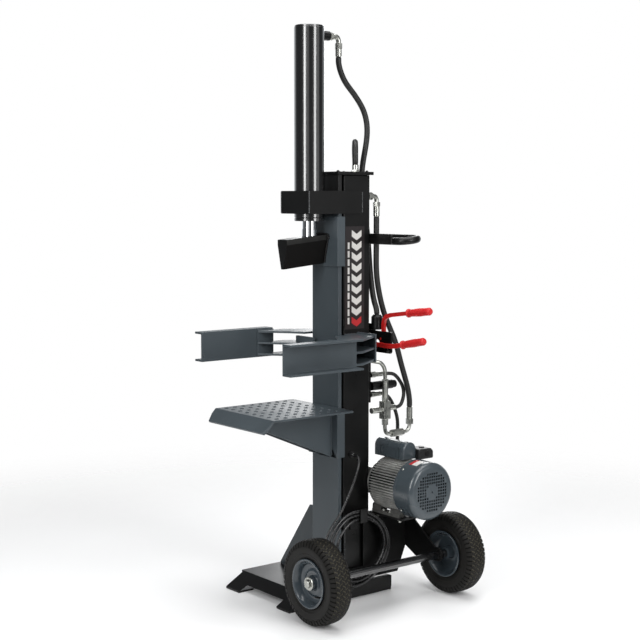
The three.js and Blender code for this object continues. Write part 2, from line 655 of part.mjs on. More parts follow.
add('cable_coil', turned([
  [COIL.inner, -COIL.half], [COIL.outer, -COIL.half], [COIL.outer, COIL.half], [COIL.inner, COIL.half],
  [COIL.inner, -COIL.half],
].map(([r, h]) => [r, h + COIL.x]), 'x', [COIL.y, COIL.z], 48), rubber);
add('cable_tail', swept([
  onCoil(284, 0.4), onCoil(284, 12), [128, -96, 140], [132, -98, 122], [134, -98, 111], [134, -98, 100.3],
], CABLE, 10, 8), rubber);
add('cable_plug', join(
  bar('z', 78, 100, [134, -98], 11, 20), bar('z', 44, 79, [134, -98], 19, 24),
  bar('z', 32, 45, [134, -98], 16, 24),
), rubber);

// ---------------------------------------------------------------- origin: middle of the footprint, on the ground
root.updateMatrixWorld(true);
const extent = new THREE.Box3();
for (const mesh of root.children) {
  if (!CORD_NODES.includes(mesh.name)) {
    extent.expandByObject(mesh, true);
  }
}
const middle = extent.getCenter(new THREE.Vector3());
root.position.set(-middle.x, -middle.y, -extent.min.z);
root.updateMatrixWorld(true);

export default root;
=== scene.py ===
"""Looks of the vertical log splitter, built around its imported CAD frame. Metres, in the frame's axes."""
import json
import math
import random

import bmesh
import bpy
from mathutils import Matrix, Vector


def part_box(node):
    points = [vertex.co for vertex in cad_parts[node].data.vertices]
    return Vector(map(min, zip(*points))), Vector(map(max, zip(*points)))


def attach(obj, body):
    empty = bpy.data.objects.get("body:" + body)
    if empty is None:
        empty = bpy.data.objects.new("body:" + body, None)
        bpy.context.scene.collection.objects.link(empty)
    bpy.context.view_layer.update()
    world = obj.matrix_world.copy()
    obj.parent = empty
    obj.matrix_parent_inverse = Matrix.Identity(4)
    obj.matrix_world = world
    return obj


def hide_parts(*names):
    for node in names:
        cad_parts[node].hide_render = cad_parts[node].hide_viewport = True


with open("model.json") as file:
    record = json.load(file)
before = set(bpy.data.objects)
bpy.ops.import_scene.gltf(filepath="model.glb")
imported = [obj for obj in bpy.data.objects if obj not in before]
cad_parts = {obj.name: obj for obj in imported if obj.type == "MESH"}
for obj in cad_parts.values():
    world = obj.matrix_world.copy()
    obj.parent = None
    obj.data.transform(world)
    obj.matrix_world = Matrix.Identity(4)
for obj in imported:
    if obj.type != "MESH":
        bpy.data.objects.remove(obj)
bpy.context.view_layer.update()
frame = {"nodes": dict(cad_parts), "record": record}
nodes = frame["nodes"]
random.seed(7)  # for the scales of the weld beads
MM = 0.001

# The column's own frame: x = 0 in the mast's middle, y = 0 on its front face, z up, millimetres.
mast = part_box("mast_beam")
COLUMN = Vector(((mast[0].x + mast[1].x) / 2, mast[0].y, 0))
TANK_SIDE, TANK_BACK = 74, 161
TANK_CAP_TOP = 1648
BASE_TOP = 58.6
TABLE_TOP = 752


def P(x, y, z):
    return COLUMN + Vector((x, y, z)) * MM


# ---------------------------------------------------------------- camera and light
CAMERA_PLACE = (4.021, -3.190, 1.559)  # from the column's foot
CAMERA_TURN, CAMERA_TILT = math.radians(51.8), math.radians(5.33)
CAMERA_LENS = 75.3
FLOOR_RADIUS = 6
FLOOR_FADE = (1.2, 3.4)  # the floor thins out to nothing between these radii
ROOM = 0.12  # strength of the studio all round, and of its low white wall
WALL = 0.9


def linked(name, data):
    """A new object in the scene."""
    thing = bpy.data.objects.new(name, data)
    bpy.context.scene.collection.objects.link(thing)
    return thing


def add_camera():
    camera = linked("camera", bpy.data.cameras.new("camera"))
    camera.location = COLUMN + Vector(CAMERA_PLACE)
    camera.data.lens = CAMERA_LENS
    camera.data.sensor_width = 36
    level = math.cos(CAMERA_TILT)
    back = Vector((math.sin(CAMERA_TURN) * level, -math.cos(CAMERA_TURN) * level, math.sin(CAMERA_TILT)))
    camera.rotation_mode = "QUATERNION"
    camera.rotation_quaternion = (-back).to_track_quat("-Z", "Y")
    bpy.context.scene.camera = camera


def softbox(name, place, aim, width, height, power):
    light = bpy.data.lights.new(name, "AREA")
    light.shape = "RECTANGLE"
    light.size, light.size_y = width, height
    light.energy = power
    box = linked(name, light)
    box.location = place
    box.rotation_mode = "QUATERNION"
    box.rotation_quaternion = (Vector(aim) - Vector(place)).to_track_quat("-Z", "Y")
    box.visible_camera = False


def ramp(tree, value, low, high, to_low, to_high, smooth=False):
    """Maps low..high to to_low..to_high, clamped."""
    node = tree.nodes.new("ShaderNodeMapRange")
    if smooth:
        node.interpolation_type = "SMOOTHSTEP"
    tree.links.new(value, node.inputs["Value"])
    for key, number in (("From Min", low), ("From Max", high), ("To Min", to_low), ("To Max", to_high)):
        node.inputs[key].default_value = number
    return node.outputs["Result"]


def add_world():
    """White to the camera; the machine reflects a dim room with a low white wall behind it."""
    world = bpy.data.worlds.new("studio")
    bpy.context.scene.world = world
    world.use_nodes = True
    tree = world.node_tree
    tree.nodes.clear()
    rays = tree.nodes.new("ShaderNodeLightPath")
    white = tree.nodes.new("ShaderNodeBackground")
    white.inputs["Color"].default_value = (1, 1, 1, 1)
    room = tree.nodes.new("ShaderNodeBackground")
    room.inputs["Color"].default_value = (0.94, 0.97, 1.0, 1)
    coord = tree.nodes.new("ShaderNodeTexCoord")
    toward = tree.nodes.new("ShaderNodeVectorMath")
    toward.operation = "DOT_PRODUCT"
    toward.inputs[1].default_value = (-0.786, 0.618, 0)
    tree.links.new(coord.outputs["Generated"], toward.inputs[0])
    split = tree.nodes.new("ShaderNodeSeparateXYZ")
    tree.links.new(coord.outputs["Generated"], split.inputs[0])
    wall = ramp(tree, toward.outputs["Value"], 0.35, 0.8, 0, WALL, smooth=True)
    low = ramp(tree, split.outputs["Z"], 0.12, 0.42, 1, 0, smooth=True)
    strength = tree.nodes.new("ShaderNodeMath")
    strength.operation = "MULTIPLY_ADD"
    strength.inputs[2].default_value = ROOM
    tree.links.new(wall, strength.inputs[0])
    tree.links.new(low, strength.inputs[1])
    tree.links.new(strength.outputs[0], room.inputs["Strength"])
    mix = tree.nodes.new("ShaderNodeMixShader")
    out = tree.nodes.new("ShaderNodeOutputWorld")
    tree.links.new(rays.outputs["Is Camera Ray"], mix.inputs["Fac"])
    tree.links.new(room.outputs[0], mix.inputs[1])
    tree.links.new(white.outputs[0], mix.inputs[2])
    tree.links.new(mix.outputs[0], out.inputs["Surface"])


def add_floor():
    mesh = bpy.data.meshes.new("floor")
    bm = bmesh.new()
    bmesh.ops.create_circle(bm, cap_ends=True, radius=FLOOR_RADIUS, segments=96)
    bm.to_mesh(mesh)
    bm.free()
    floor = linked("floor", mesh)
    paint = bpy.data.materials.new("floor")
    paint.use_nodes = True
    tree = paint.node_tree
    shader = tree.nodes["Principled BSDF"]
    shader.inputs["Base Color"].default_value = (0.96, 0.96, 0.96, 1)
    shader.inputs["Roughness"].default_value = 0.6
    shader.inputs["Specular IOR Level"].default_value = 0.2
    clear = tree.nodes.new("ShaderNodeBsdfTransparent")
    coord = tree.nodes.new("ShaderNodeTexCoord")
    far = tree.nodes.new("ShaderNodeVectorMath")
    far.operation = "LENGTH"
    mix = tree.nodes.new("ShaderNodeMixShader")
    tree.links.new(coord.outputs["Object"], far.inputs[0])
    tree.links.new(ramp(tree, far.outputs["Value"], *FLOOR_FADE, 0, 1, smooth=True), mix.inputs["Fac"])
    tree.links.new(shader.outputs[0], mix.inputs[1])
    tree.links.new(clear.outputs[0], mix.inputs[2])
    tree.links.new(mix.outputs[0], tree.nodes["Material Output"].inputs["Surface"])
    mesh.materials.append(paint)


add_camera()
add_world()
add_floor()
middle = Vector((0, 0, 1.0))
softbox("key_left", (1.26, -4.11, 2.8), middle, 1.1, 3.4, 112)
softbox("wing_left", (2.65, -3.39, 2.6), middle, 1.5, 3.6, 10)
softbox("key_right", (4.28, 0.38, 2.4), middle, 1.2, 3.6, 100)
softbox("wing_right", (3.72, 2.15, 2.4), middle, 1.5, 3.6, 12)
softbox("back_fill", (-3.6, 3.4, 2.2), middle, 1.6, 3.6, 60)
softbox("top", (0.3, 0.2, 5.2), (0, 0, 0), 4.0, 4.0, 195)
bpy.context.scene.view_settings.view_transform = "Standard"


# ---------------------------------------------------------------- materials
def linear(value):
    value /= 255
    return value / 12.92 if value <= 0.04045 else ((value + 0.055) / 1.055) ** 2.4


def shade(color, factor):
    return tuple(min(1, linear(c) * factor) for c in color) + (1,)


def noise(tree, scale, detail=3, stretch=(1, 1, 1)):
    coord = tree.nodes.new("ShaderNodeTexCoord")
    mapping = tree.nodes.new("ShaderNodeMapping")
    mapping.inputs["Scale"].default_value = stretch
    texture = tree.nodes.new("ShaderNodeTexNoise")
    texture.inputs["Scale"].default_value = scale
    texture.inputs["Detail"].default_value = detail
    tree.links.new(coord.outputs["Object"], mapping.inputs["Vector"])
    tree.links.new(mapping.outputs["Vector"], texture.inputs["Vector"])
    return texture.outputs["Fac"]


def blend_color(tree, factor, first, second):
    node = tree.nodes.new("ShaderNodeMix")
    node.data_type = "RGBA"
    tree.links.new(factor, node.inputs["Factor"])
    for socket, color in ((node.inputs[6], first), (node.inputs[7], second)):
        if isinstance(color, tuple):
            socket.default_value = color
        else:
            tree.links.new(color, socket)
    return node.outputs[2]


def finish(name, color, rough, metallic=0.0, spread=0.12, cloud=6, grain=700, bump=0.25, swing=0.07,
           coat=0.0, specular=0.5, stretch=(1, 1, 1)):
    """A base colour with slow clouds and fine grain in colour, roughness and height."""
    material = bpy.data.materials.new(name)
    material.use_nodes = True
    tree = material.node_tree
    shader = tree.nodes["Principled BSDF"]
    shader.inputs["Metallic"].default_value = metallic
    shader.inputs["Coat Weight"].default_value = coat
    shader.inputs["Coat Roughness"].default_value = 0.12
    shader.inputs["Specular IOR Level"].default_value = specular
    slow = noise(tree, cloud, 4, stretch)
    fine = noise(tree, grain, 2, stretch)
    clouds = ramp(tree, slow, 0.3, 0.7, 0, 1)
    base = blend_color(tree, clouds, shade(color, 1 - spread), shade(color, 1 + spread))
    speck = blend_color(tree, ramp(tree, fine, 0.62, 0.75, 0, 0.35), base, shade(color, 1 + 3 * spread))
    tree.links.new(speck, shader.inputs["Base Color"])
    tree.links.new(ramp(tree, slow, 0.25, 0.75, rough - swing, rough + swing), shader.inputs["Roughness"])
    height = tree.nodes.new("ShaderNodeBump")
    height.inputs["Strength"].default_value = bump
    height.inputs["Distance"].default_value = 0.0002
    tree.links.new(fine, height.inputs["Height"])
    tree.links.new(height.outputs["Normal"], shader.inputs["Normal"])
    return material


SLATE = finish("slate_powder_coat", (66, 74, 79), 0.4, spread=0.07, bump=0.3)
BLACK = finish("satin_black", (14, 14, 14), 0.33, spread=0.15, bump=0.25, specular=0.32)
GLOSS = finish("gloss_black", (9, 9, 10), 0.2, spread=0.1, grain=60, bump=0.01, swing=0.01, coat=0.8,
               specular=1.0)
RIM = finish("rim_enamel", (56, 64, 70), 0.22, spread=0.06, bump=0.1, coat=0.3)
TREAD = finish("tread_rubber", (21, 20, 18), 0.6, spread=0.16, cloud=26, grain=420, bump=0.4, specular=0.22)
GROOVE = finish("groove_rubber", (74, 71, 61), 0.9, spread=0.22, cloud=40, grain=420, bump=0.5,
                specular=0.2)
SIDEWALL = finish("sidewall_rubber", (23, 22, 20), 0.55, spread=0.1, cloud=18, grain=500, bump=0.3,
                  specular=0.25)
# Nearly black and dull: painted shade between the tyre's shoulder lugs, and the dull top end of the cylinder.
DULL_BLACK_AND_PAINTED_SHADE = finish("dull_black_and_painted_shade", (10, 10, 9), 0.9, spread=0.1, cloud=18, grain=500, bump=0.3, specular=0.1)
RED = finish("red_enamel", (196, 34, 32), 0.32, spread=0.08, grain=500, bump=0.1, coat=0.2)
RED_GRIP = finish("red_grip_vinyl", (200, 36, 38), 0.45, spread=0.1, grain=900, bump=0.4, specular=0.4)
HOSE = finish("hose_rubber", (29, 29, 28), 0.5, spread=0.16, cloud=45, grain=900, bump=0.8)
CORD = finish("cable_rubber", (24, 24, 25), 0.28, spread=0.1, cloud=30, grain=900, bump=0.03, specular=0.7)
PLASTIC = finish("black_plastic", (20, 20, 21), 0.42, spread=0.1, cloud=20, grain=1100, bump=0.5)
ZINC = finish("zinc_plate", (186, 187, 181), 0.3, metallic=1.0, spread=0.1, cloud=40, grain=600, bump=0.3,
              swing=0.1)
STEEL = finish("turned_steel", (178, 178, 174), 0.3, metallic=1.0, spread=0.1, cloud=60, grain=500, bump=0.2,
               stretch=(1, 1, 4))
CHROME = finish("rod_chrome", (226, 228, 230), 0.07, metallic=1.0, spread=0.03, grain=300, bump=0.03,
                swing=0.02)
ALLOY = finish("bare_casting", (196, 196, 193), 0.42, metallic=0.7, spread=0.2, cloud=24, grain=420,
               bump=0.6)
WELD = finish("painted_weld", (52, 54, 56), 0.25, spread=0.25, cloud=120, grain=300, bump=0.6, coat=0.3)
PANEL = finish("panel_film", (36, 31, 32), 0.35, spread=0.06, grain=900, bump=0.08)
MARK = finish("white_print", (212, 210, 206), 0.4, spread=0.03, grain=900, bump=0.05)
RED_MARK = finish("red_print", (186, 40, 44), 0.4, spread=0.04, grain=900, bump=0.05)

ENAMEL = finish("slate_enamel", (64, 72, 77), 0.27, spread=0.04, grain=500, bump=0.02, coat=0.3)
CASTING = finish("dark_casting", (104, 104, 101), 0.5, metallic=0.6, spread=0.2, cloud=60, grain=420,
                 bump=0.6)
# Slate darkened as painted shade, for the gusset that stands in the mast's shade.
SLATE_PAINTED_SHADE = finish("slate_painted_shade", (42, 50, 55), 0.4, spread=0.07, bump=0.3)
# Lit and shaded copies of the satin black: painted light for the wedge's upright band, painted shade for its
# downward faces.
WEDGE_PAINTED_LIGHT = finish("black_painted_light", (37, 37, 36), 0.33, spread=0.15, bump=0.25, specular=0.32)
WEDGE_PAINTED_SHADE = finish("black_painted_shade", (9, 8, 7), 0.5, spread=0.3, bump=0.3, specular=0.15)


def two_tone():
    """Slate below the clamp and black above it."""
    material = SLATE.copy()
    material.name = "mast_two_tone"
    tree = material.node_tree
    base_color = tree.nodes["Principled BSDF"].inputs["Base Color"]
    below = base_color.links[0].from_socket
    coord = tree.nodes.new("ShaderNodeTexCoord")
    split = tree.nodes.new("ShaderNodeSeparateXYZ")
    tree.links.new(coord.outputs["Object"], split.inputs[0])
    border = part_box("cylinder_clamp")[1].z - 30 * MM
    edge = ramp(tree, split.outputs["Z"], border - MM, border, 0, 1)
    tree.links.new(blend_color(tree, edge, below, shade((15, 15, 15), 1)), base_color)
    return material


BY_SLOT = {
    "slate_paint": SLATE, "black_paint": BLACK, "gloss_black": GLOSS, "rim_paint": RIM,
    "tyre_rubber": TREAD, "red_paint": RED, "red_grip": RED_GRIP, "hose_rubber": HOSE,
    "cable_rubber": CORD, "black_plastic": PLASTIC, "zinc_plate": ZINC, "bare_steel": STEEL,
    "rod_chrome": CHROME, "cast_alloy": ALLOY,
}
# The gusset takes the slate with painted shade.
OWN = {"mast_beam": two_tone(), "mast_gusset": SLATE_PAINTED_SHADE, "axle": GLOSS}

# ---------------------------------------------------------------- the CAD nodes that stay
BEVEL = {  # bevel width in millimetres; others get EDGE
    "base_plate": 5, "table_plate": 2.5, "cylinder_clamp": 2, "oil_tank": 4, "tank_cap": 2,
    "handle_bracket": 3, "tee_block": 2.5, "switch_box": 6, "wedge_blade": 2.6, "lever_lower": 1.5,
    "lever_upper": 1.5, "axle_bracket": 1.2, "relief_valve": 2, "valve_body": 2,
}
EDGE = 1.2
BEVEL_ANGLE = math.radians(34)
SMOOTH = {"hose_cylinder", "hose_return", "hose_suction", "hose_loop_upper", "hose_loop_lower", "handle_loop"}
HOSE_SWELL = 1.1 * MM  # makes up for the waist that subdivision takes off a hose
LOOP_SWELL = 0.6 * MM


def add_bevel(piece, width, segments):
    edges = piece.modifiers.new("edges", "BEVEL")
    edges.width = width
    edges.segments = segments
    edges.limit_method = "ANGLE"
    edges.angle_limit = BEVEL_ANGLE
    edges.harden_normals = True


def dress_nodes():
    """Materials, welded corners and rounded edges for the CAD nodes."""
    slot_of = {part["node"]: part["material_slot"] for part in frame["record"]["subparts"]}
    for name, node in nodes.items():
        mesh = node.data
        mesh.materials.clear()
        mesh.materials.append(OWN.get(name, BY_SLOT[slot_of[name]]))
        if "custom_normal" in mesh.attributes:
            mesh.attributes.remove(mesh.attributes["custom_normal"])
        mesh.polygons.foreach_set("use_smooth", [True] * len(mesh.polygons))
        weld = node.modifiers.new("weld", "WELD")
        weld.merge_threshold = 1e-5
        if name in SMOOTH:
            round_off = node.modifiers.new("round", "SUBSURF")
            round_off.levels = round_off.render_levels = 2
            swell = node.modifiers.new("swell", "DISPLACE")
            swell.mid_level = 0
            swell.strength = LOOP_SWELL if "loop" in name else HOSE_SWELL
            continue
        flatten = node.modifiers.new("flatten", "DECIMATE")
        flatten.decimate_type = "DISSOLVE"
        flatten.angle_limit = math.radians(0.8)
        add_bevel(node, BEVEL.get(name, EDGE) * MM, 3)


def paint_faces(name, materials, choose):
    """Gives each face of a CAD node the material that choose(face) numbers; 0 is the node's own."""
    mesh = nodes[name].data
    for material in materials:
        mesh.materials.append(material)
    for face in mesh.polygons:
        face.material_index = int(choose(face))


def paint_parts():
    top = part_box("cylinder_tube")[1].z
    # The cylinder's top end is dull black.
    paint_faces("cylinder_tube", [DULL_BLACK_AND_PAINTED_SHADE], lambda face: face.normal.z > 0.9 and face.center.z > top - MM)
    # The wedge gets painted light on the upright sides of its upper band and painted shade on the faces that
    # split, which look downward.
    paint_faces("wedge_blade", [WEDGE_PAINTED_LIGHT, WEDGE_PAINTED_SHADE],
                lambda face: 2 if face.normal.z < -0.1 else abs(face.normal.x) > 0.98)
    # The boss on the cylinder is painted; the fitting screwed into it is plated.
    boss_end = P(0, 16.3, 0).y
    paint_faces("top_port_elbow", [BLACK], lambda face: face.center.y < boss_end)


dress_nodes()
paint_parts()


# ---------------------------------------------------------------- mesh building
def angles(count):
    return [2 * math.pi * i / count for i in range(count)]


def axes(direction):
    """Two directions square to this one, and its own unit vector."""
    w = Vector(direction).normalized()
    u = w.orthogonal().normalized()
    return u, w.cross(u), w


BEAD_STEP = 1.6 * MM


class Build:
    """Collects closed solids into one mesh piece."""

    def __init__(self, name, material, slot, body, bevel=0.0, replaces=(), angle=34):
        self.name, self.slot, self.body = name, slot, body
        self.materials = material if isinstance(material, list) else [material]
        self.bevel, self.replaced, self.angle = bevel, replaces, angle
        self.bm = bmesh.new()

    def faces(self, rings, closed=True, material=0):
        """Skins rings of points. Closed joins the last ring to the first; otherwise both ends are capped."""
        made = [[self.bm.verts.new(p) for p in ring] for ring in rings]
        count = len(made[0])
        spans = list(zip(made, made[1:]))
        if closed:
            spans.append((made[-1], made[0]))
        for a, b in spans:
            for i in range(count):
                j = (i + 1) % count
                self.bm.faces.new((a[i], a[j], b[j], b[i])).material_index = material
        if not closed:
            self.bm.faces.new(made[0][::-1]).material_index = material
            self.bm.faces.new(made[-1]).material_index = material

    def box(self, low, high, material=0, matrix=None):
        (x0, y0, z0), (x1, y1, z1) = low, high
        turn = matrix or Matrix.Identity(4)
        ring = [(x0, y0), (x1, y0), (x1, y1), (x0, y1)]
        self.faces([[turn @ Vector((x, y, z)) for x, y in ring] for z in (z0, z1)], False, material)

    def turned(self, at, direction, profile, segments=32, material=0):
        """Turns a closed profile of (radius, height), or one that runs from radius 0 to radius 0."""
        u, v, w = axes(direction)
        at = Vector(at)
        rings = []
        capped = profile[0][0] < 1e-9
        for r, h in profile[1:-1] if capped else profile:
            rings.append([at + w * h + r * (u * math.cos(a) + v * math.sin(a)) for a in angles(segments)])
        self.faces(rings, not capped, material)

    def rod(self, start, end, radius, segments=24, material=0):
        u, v, _ = axes(Vector(end) - Vector(start))
        self.faces([[Vector(p) + radius * (u * math.cos(a) + v * math.sin(a)) for a in angles(segments)]
                    for p in (start, end)], False, material)

    def bolt(self, at, direction, head=0.0065, height=0.006, washer=0.009, material=0):
        """A hexagon head on its washer."""
        w = Vector(direction).normalized()
        at = Vector(at)
        self.turned(at - w * 0.001, w, [(0, 0), (washer, 0), (washer, 0.0026), (0, 0.0026)], 24, material)
        self.rod(at, at + w * height, head, 6, material)
        self.turned(at + w * (height - 0.0004), w,
                    [(0, 0), (head * 0.8, 0), (head * 0.66, 0.0012), (0, 0.0012)], 18, material)

    def bead(self, start, end, radius, material=0):
        """A weld bead with its scales, along a straight joint."""
        start, end = Vector(start), Vector(end)
        u, v, w = axes(end - start)
        steps = max(4, int((end - start).length / BEAD_STEP))
        rings = []
        for k in range(steps + 1):
            swell = 0.78 + 0.22 * abs(math.sin(k * math.pi / 4)) + random.uniform(-0.07, 0.07)
            if k in (0, steps):
                swell = 0.3
            middle = start + w * (end - start).length * k / steps
            rings.append([middle + radius * swell * (u * math.cos(a) + v * math.sin(a)) for a in angles(10)])
        self.faces(rings, False, material)

    def done(self):
        bmesh.ops.recalc_face_normals(self.bm, faces=self.bm.faces)
        mesh = bpy.data.meshes.new(self.name)
        self.bm.to_mesh(mesh)
        self.bm.free()
        for material in self.materials:
            mesh.materials.append(material)
        mesh.polygons.foreach_set("use_smooth", [True] * len(mesh.polygons))
        mesh.set_sharp_from_angle(angle=math.radians(self.angle))
        piece = linked(self.name, mesh)
        if self.bevel:
            add_bevel(piece, self.bevel, 2)
        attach(piece, self.body)
        if self.replaced:
            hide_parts(*self.replaced)


# ---------------------------------------------------------------- wheels
AXLE_X, AXLE_Z = 280, 160.5
TYRE_R, RIM_R = 158, 89
LUGS = 54
LUG_PITCH = 2 * math.pi / LUGS
# Which end, the wheel's middle, its outward side and the end face of the axle.
WHEELS = (("front", -259, -1, -294), ("rear", 409, 1, 444))


def wheel_point(y, r, h, angle):
    return P(AXLE_X + r * math.sin(angle), y + h, AXLE_Z + r * math.cos(angle))


def lathe_rings(y, profile, segments):
    return [[wheel_point(y, r, h, a) for a in angles(segments)] for r, h in profile]


def add_carcass(tyre, y):
    half = [(RIM_R - 4, 30), (RIM_R + 1, 36), (RIM_R + 4, 39.5), (RIM_R + 9, 41.2), (RIM_R + 14, 42),
            (RIM_R + 15, 43), (RIM_R + 20, 43.6), (RIM_R + 21, 42.8), (RIM_R + 34, 44.6), (RIM_R + 45, 44.2),
            (RIM_R + 53, 42), (TYRE_R - 10, 37.5), (TYRE_R - 5.2, 31), (TYRE_R - 3.2, 22),
            (TYRE_R - 2.4, 11), (TYRE_R - 2.2, 0)]
    profile = half + [(r, -h) for r, h in half[-2::-1]]
    tyre.faces(lathe_rings(y, profile, 108))
    for face in tyre.bm.faces:
        middle = face.calc_center_median() - P(AXLE_X, y, AXLE_Z)
        radius = math.hypot(middle.x, middle.z)
        # Shoulder faces between the lugs get painted shade; the crown between the blocks gets the groove
        # rubber.
        side = 3 if radius > (TYRE_R - 24) * MM else 2
        face.material_index = side if abs(middle.y) > 30 * MM else 1


def add_crown_blocks(tyre, y):
    """Five staggered rows of tread blocks, from inside the carcass up to the crown."""
    def crown(h):
        return TYRE_R - 0.4 - 4.6 * (abs(h) / 38) ** 2.6

    for row, (centre, width) in enumerate(((-25.2, 9.6), (-12.6, 9.4), (0, 9.4), (12.6, 9.4), (25.2, 9.6))):
        low, high = centre - width / 2, centre + width / 2
        for i in range(LUGS):
            a = (i + 0.5 * (row % 2)) * LUG_PITCH
            slant = 0.16 * LUG_PITCH * (1 if row % 2 else -1)
            wide, notch = 0.37 * LUG_PITCH, 0.05 * LUG_PITCH
            corners = [(a - wide + slant, low), (a - notch, low - 0.8), (a + wide + slant, low),
                       (a + wide - slant, high), (a + notch, high + 0.8), (a - wide - slant, high)]
            foot = [wheel_point(y, crown(h) - 5, h, angle) for angle, h in corners]
            top = [wheel_point(y, crown(h), h * 0.97, angle) for angle, h in corners]
            tyre.faces([foot, top], False)


def add_shoulder_lugs(tyre, y):
    """Lugs over each shoulder, long and short by turns."""
    for side in (-1, 1):
        for i in range(LUGS):
            a = (i + (0.5 if side > 0 else 0)) * LUG_PITCH
            wide = 0.37 * LUG_PITCH
            long = 17 if i % 2 else 12
            profile = [(TYRE_R - 3.0, 32.6), (TYRE_R - 5.2, 37.6), (TYRE_R - 10, 42.0),
                       (TYRE_R - 10 - long, 45.2)]
            outline = profile + [(r - 4, h - 4.5) for r, h in profile][::-1]
            tyre.faces([[wheel_point(y, r, side * h, a + shift) for r, h in outline]
                        for shift in (-wide, wide)], False)


def add_tyre(end, y):
    tyre = Build(f"tyre_detail_{end}", [TREAD, GROOVE, SIDEWALL, DULL_BLACK_AND_PAINTED_SHADE], "tyre_rubber", f"{end}_wheel",
                 replaces=(f"tyre_{end}",), angle=40)
    add_carcass(tyre, y)
    add_crown_blocks(tyre, y)
    add_shoulder_lugs(tyre, y)
    tyre.done()


def add_rim(end, y, side):
    """The pressed disc with its flanges and hub, and the valve."""
    rim = Build(f"rim_detail_{end}", [RIM, BLACK], "rim_paint", f"{end}_wheel", bevel=0.0006,
                replaces=(f"rim_{end}",), angle=30)
    out = [(RIM_R - 1, 41), (RIM_R + 2, 43), (RIM_R + 2, 45), (RIM_R - 1.5, 46), (RIM_R - 6, 44.5),
           (RIM_R - 9, 41), (RIM_R - 13, 34), (RIM_R - 16, 26), (RIM_R - 18.5, 19), (RIM_R - 24, 15.5),
           (56, 13.5), (50, 14.5), (46, 17.5), (41, 18.5), (34, 17), (29, 17.5), (27, 20), (26.2, 26),
           (25.4, 32), (24, 33.8), (15.6, 33.8)]
    back = [(15.6, -33.8), (24, -33.8), (25.5, -30), (27, -4), (34, -2), (46, -1), (56, -4),
            (RIM_R - 24, -6), (RIM_R - 17, -14), (RIM_R - 12, -32), (RIM_R - 6, -44), (RIM_R - 1, -46),
            (RIM_R + 2, -45), (RIM_R + 2, -43), (RIM_R - 1, -41), (RIM_R - 4, -28), (RIM_R - 4, 28)]
    rim.faces(lathe_rings(y, [(r, side * h) for r, h in out + back], 96))
    stem = wheel_point(y, RIM_R - 17, side * 24, 2.2)
    tip = wheel_point(y, RIM_R - 26, side * 44, 2.2)
    rim.rod(stem, tip, 0.0038, 14, 1)
    rim.rod(tip, tip + (tip - stem).normalized() * 0.008, 0.0031, 12, 1)
    rim.done()


def add_hub(end, y, side):
    """Zinc washer, castle nut and split pin over the axle's end."""
    hub = Build(f"hub_hardware_{end}", [ZINC, STEEL], "zinc_plate", "frame", bevel=0.0006)
    direction = Vector((0, side, 0))
    face = P(AXLE_X, y, AXLE_Z)
    hub.turned(face, direction,
               [(0, 0.001), (0.0255, 0.001), (0.0255, 0.0048), (0.0235, 0.0064), (0, 0.0064)], 40)
    hub.rod(face + direction * 0.006, face + direction * 0.0135, 0.0162, 6)
    hub.turned(face + direction * 0.013, direction,
               [(0, 0), (0.0138, 0), (0.0122, 0.0018), (0.0074, 0.0018), (0.0062, -0.002), (0, -0.002)], 28)
    u, v, _ = axes(direction)
    hub.rod(face + direction * 0.0112 + u * 0.019, face + direction * 0.0112 - u * 0.019, 0.0016, 10, 1)
    for i in range(3):
        a = 2 * math.pi * i / 3 + 0.4
        spot = face + direction * 0.0062 + 0.019 * (u * math.cos(a) + v * math.sin(a))
        hub.turned(spot, direction, [(0, -0.001), (0.0024, -0.001), (0.0022, 0.0013), (0, 0.0013)], 12, 1)
    hub.done()


for end, middle_y, side, _ in WHEELS:
    add_tyre(end, middle_y)
    add_rim(end, middle_y, side)
for end, _, side, axle_end in WHEELS:
    add_hub(end, axle_end, side)

# ---------------------------------------------------------------- motor
MOTOR_Y, MOTOR_Z = 225, 440
FINS, FIN_ROOT, FIN_TIP = 60, 92, 103.6
COVER_BACK, COVER_FACE = 268.5, 368
COVER_R, COVER_CORNER, COVER_WALL = 110.7, 21, 2.2
GRILLE_R, HOLE_PITCH, HOLE_R = 0.0806, 0.0116, 0.0056


def motor_spot(x, r, a):
    return P(x, MOTOR_Y + r * math.sin(a), MOTOR_Z + r * math.cos(a))


def around(x, count, r):
    return [motor_spot(x, r, a) for a in angles(count)]


def from_shaft(face):
    """The middle of a face, seen from the motor's shaft."""
    middle = face.calc_center_median() - P(0, MOTOR_Y, MOTOR_Z)
    return middle.x, math.hypot(middle.y, middle.z)


